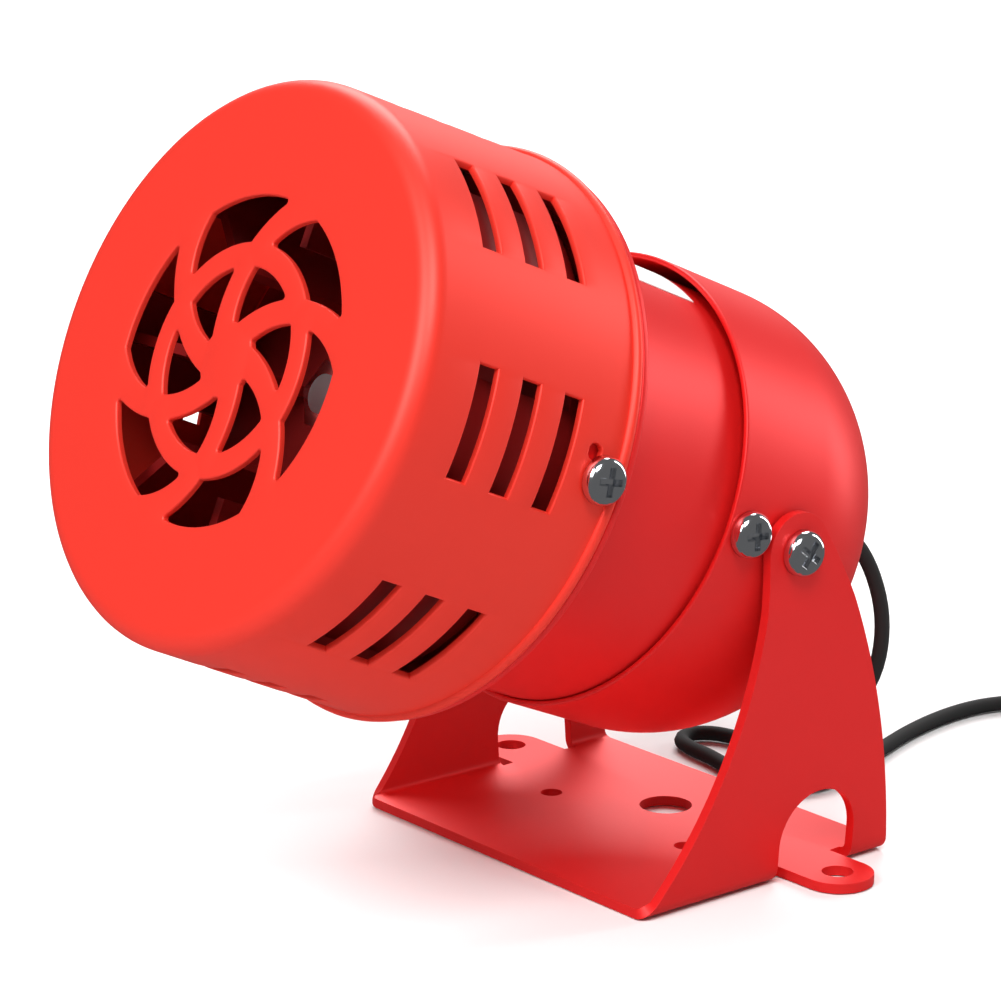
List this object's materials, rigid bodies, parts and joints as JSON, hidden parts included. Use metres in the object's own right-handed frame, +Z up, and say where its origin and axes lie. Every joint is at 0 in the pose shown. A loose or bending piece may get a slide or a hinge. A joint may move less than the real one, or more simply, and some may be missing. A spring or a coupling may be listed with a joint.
{
  "type": "alarm siren",
  "caption": "Small red motor siren: slotted drum head with an inlet grille, tilting in a stirrup bracket with folded-out feet and a thin lead.",
  "frame": {"origin": "centre of the bracket's underside", "axes": "+Z up from the mounting surface, -Y the way the head faces, +X along the tilt axis"},
  "size_m": [0.0919, 0.2135, 0.1259],
  "materials": {
    "red_gloss_enamel": "glossy red stove enamel over drawn sheet steel",
    "red_cap_enamel": "satin orange-red enamel over drawn sheet steel",
    "zinc_plate": "bright zinc-plated steel",
    "white_label": "white film label",
    "black_fibre": "black fibre",
    "cast_alloy": "as-cast",
    "sintered_bronze": "sintered, oil filled",
    "core_steel": "varnished electrical sheet",
    "enamelled_wire": "enamelled copper wire",
    "brown_resin": "moulded phenolic resin",
    "carbon": "carbon",
    "spring_steel": "drawn",
    "cream_resin": "moulded",
    "black_cord": "smooth black jacket",
    "black_rubber": "satin",
    "ground_steel": "ground",
    "copper": "turned copper",
    "dark_red_enamel": "dark red enamel on sheet steel",
    "tinned_copper": "tinned strands"
  },
  "bodies": {
    "bracket": {"bracket": "red_gloss_enamel", "cord": "black_cord", "cord_coil": "black_cord", "cord_end": "black_cord", "cord_cores": "tinned_copper"},
    "head": {"front_cap": "red_cap_enamel", "cap_screws": "zinc_plate", "motor_housing": "red_gloss_enamel", "rear_cover": "red_gloss_enamel", "cover_screws": "zinc_plate", "rating_label": "white_label", "pivot_screws": "zinc_plate", "pivot_washers": "black_fibre", "pivot_nuts": "zinc_plate", "front_shield": "red_gloss_enamel", "rear_shield": "cast_alloy", "front_bush": "sintered_bronze", "rear_bush": "sintered_bronze", "stator_core": "core_steel", "field_coils": "enamelled_wire", "tie_bolts": "zinc_plate", "tie_spacers": "zinc_plate", "tie_nuts": "zinc_plate", "brush_holders": "brown_resin", "brushes": "carbon", "brush_springs": "spring_steel", "terminal_block": "cream_resin", "inner_leads": "black_cord", "cord_grommet": "black_rubber"},
    "rotor": {"motor_shaft": "ground_steel", "armature_core": "core_steel", "armature_windings": "enamelled_wire", "commutator": "copper", "thrust_washers": "spring_steel", "siren_wheel": "dark_red_enamel", "wheel_hub": "sintered_bronze", "wheel_nut": "zinc_plate"}
  },
  "joints": [
    {"name": "head_tilt", "type": "hinge", "parent": "bracket", "child": "head", "pos_m": [0, 0.0015, 0.054], "axis": [-1, 0, 0], "range_deg": [-28.5, 66.5]},
    {"name": "rotor_spin", "type": "hinge", "parent": "head", "child": "rotor", "pos_m": [0, 0.0015, 0.054], "axis": [0, -0.9171, 0.3987], "continuous": true}
  ]
}
